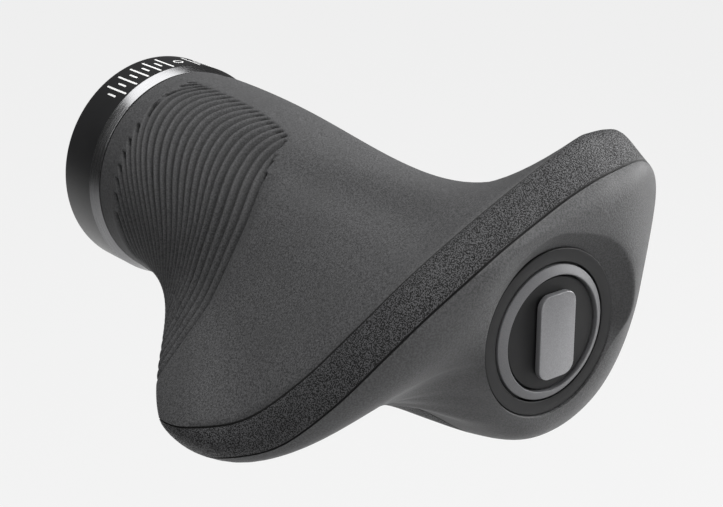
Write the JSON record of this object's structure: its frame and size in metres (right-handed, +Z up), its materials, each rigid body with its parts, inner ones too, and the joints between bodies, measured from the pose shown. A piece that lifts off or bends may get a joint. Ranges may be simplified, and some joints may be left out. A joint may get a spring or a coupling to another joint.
{
  "type": "bicycle handlebar grip",
  "caption": "Lock-on handlebar grip for the right hand: rubber body with a palm wing and flared end on a hard sleeve, held by a clamp ring, with a closed outboard end.",
  "frame": {"origin": "on the bar's axis at the inboard face of the clamp ring", "axes": "+X along the bar towards its end, +Y forward, away from the rider, +Z up as the grip sits on the bar"},
  "size_m": [0.0922, 0.0626, 0.0411],
  "materials": {
    "anodised_aluminium": "black anodised, satin",
    "black_steel": "black oxide",
    "sleeve_nylon": "moulded, matt",
    "grip_rubber": "fine grained, matt",
    "plug_plastic": "moulded, satin gloss",
    "trim_grey": "satin grey",
    "disc_plastic": "fine matt",
    "plate_grey": "satin grey"
  },
  "bodies": {
    "root": {"clamp_ring": "anodised_aluminium", "clamp_screw": "black_steel", "core_sleeve": "sleeve_nylon", "grip_rubber": "grip_rubber", "end_plug": "plug_plastic", "trim_ring": "trim_grey", "badge_disc": "disc_plastic", "badge_plate": "plate_grey"}
  },
  "joints": []
}
